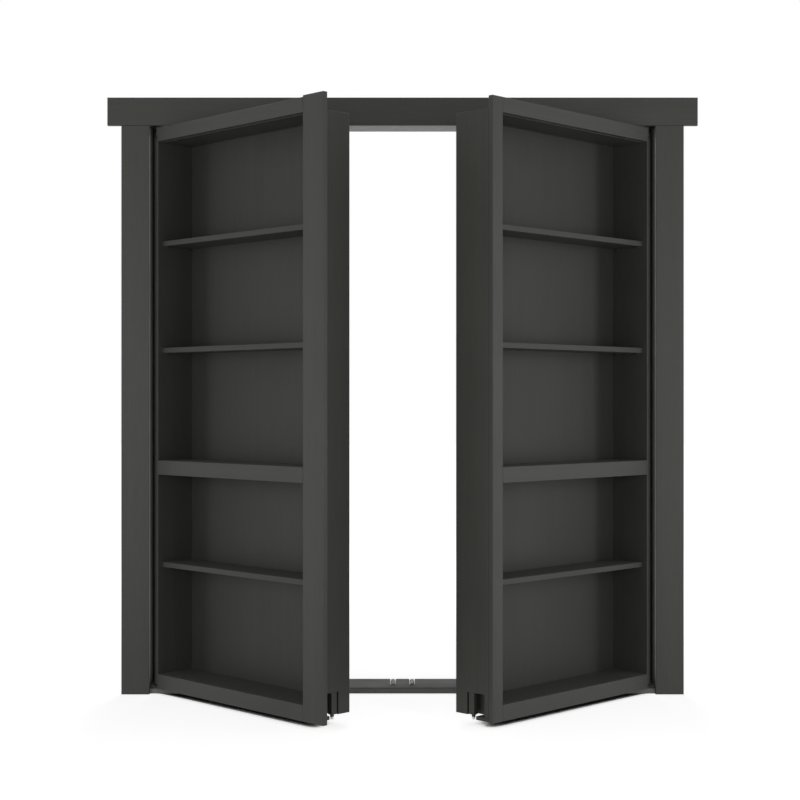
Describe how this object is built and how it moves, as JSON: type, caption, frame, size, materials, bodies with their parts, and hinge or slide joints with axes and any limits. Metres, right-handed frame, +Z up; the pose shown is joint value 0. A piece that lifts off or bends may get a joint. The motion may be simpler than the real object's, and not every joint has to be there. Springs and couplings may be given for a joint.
{
  "type": "hidden door bookcase",
  "caption": "Pair of open-front bookcases that swing on corner pivots in a cased doorway, shown standing ajar.",
  "frame": {"origin": "centre of the threshold's underside, on the floor", "axes": "+X to the right seen from the room, +Y into the wall, +Z up"},
  "size_m": [2.087, 0.8272, 2.1098],
  "materials": {
    "casing_paint": "satin charcoal paint on wood, faint brushed grain",
    "leaf_paint": "satin charcoal paint on solid wood",
    "box_paint": "satin charcoal paint on plywood",
    "sill_paint": "satin charcoal paint, walked on",
    "zinc_steel": "zinc-plated folded steel",
    "bright_steel": "bright turned steel",
    "black_steel": "black oxide steel"
  },
  "bodies": {
    "frame": {"header_casing": "casing_paint", "left_casing": "casing_paint", "right_casing": "casing_paint", "left_jamb": "casing_paint", "right_jamb": "casing_paint", "head_jamb": "casing_paint", "left_stop": "casing_paint", "right_stop": "casing_paint", "threshold": "sill_paint", "head_plate": "zinc_steel", "left_keeper": "zinc_steel", "right_keeper": "zinc_steel", "left_top_pivot": "black_steel", "right_top_pivot": "black_steel", "left_bottom_pivot": "black_steel", "right_bottom_pivot": "black_steel"},
    "left_leaf": {"left_meeting_stile": "leaf_paint", "left_top_rail": "leaf_paint", "left_mid_rail": "leaf_paint", "left_bottom_rail": "leaf_paint", "left_hinge_side": "box_paint", "left_free_side": "box_paint", "left_top_panel": "box_paint", "left_fixed_shelf": "box_paint", "left_bottom_panel": "box_paint", "left_back_panel": "box_paint", "left_low_shelf": "box_paint", "left_high_shelf": "box_paint", "left_top_shelf": "box_paint", "left_toe_board": "box_paint", "left_pocket_liner": "box_paint", "left_latch_housing": "box_paint", "left_latch_bush": "black_steel", "left_latch_spring": "bright_steel", "left_top_socket": "black_steel", "left_bottom_socket": "black_steel"},
    "left_latch": {"left_latch_pin": "bright_steel"},
    "right_leaf": {"right_meeting_stile": "leaf_paint", "right_top_rail": "leaf_paint", "right_mid_rail": "leaf_paint", "right_bottom_rail": "leaf_paint", "right_hinge_side": "box_paint", "right_free_side": "box_paint", "right_top_panel": "box_paint", "right_fixed_shelf": "box_paint", "right_bottom_panel": "box_paint", "right_back_panel": "box_paint", "right_low_shelf": "box_paint", "right_high_shelf": "box_paint", "right_top_shelf": "box_paint", "right_toe_board": "box_paint", "right_pocket_liner": "box_paint", "right_latch_housing": "box_paint", "right_latch_bush": "black_steel", "right_latch_spring": "bright_steel", "right_top_socket": "black_steel", "right_bottom_socket": "black_steel"},
    "right_latch": {"right_latch_pin": "bright_steel"}
  },
  "joints": [
    {"name": "left_leaf_swing", "type": "hinge", "parent": "frame", "child": "left_leaf", "pos_m": [-0.866, -0.09865, 1], "axis": [0, 0, -1], "range_deg": [-45.5, 44.5]},
    {"name": "right_leaf_swing", "type": "hinge", "parent": "frame", "child": "right_leaf", "pos_m": [0.866, -0.09865, 1], "axis": [0, 0, 1], "range_deg": [-45.5, 44.5]},
    {"name": "left_latch_lift", "type": "slide", "parent": "left_leaf", "child": "left_latch", "axis": [0, 0, 1], "range_m": [0, 0.01], "stiffness_N_per_m": 100, "deforming": ["left_latch_spring"]},
    {"name": "right_latch_lift", "type": "slide", "parent": "right_leaf", "child": "right_latch", "axis": [0, 0, 1], "range_m": [0, 0.01], "stiffness_N_per_m": 100, "deforming": ["right_latch_spring"]}
  ]
}
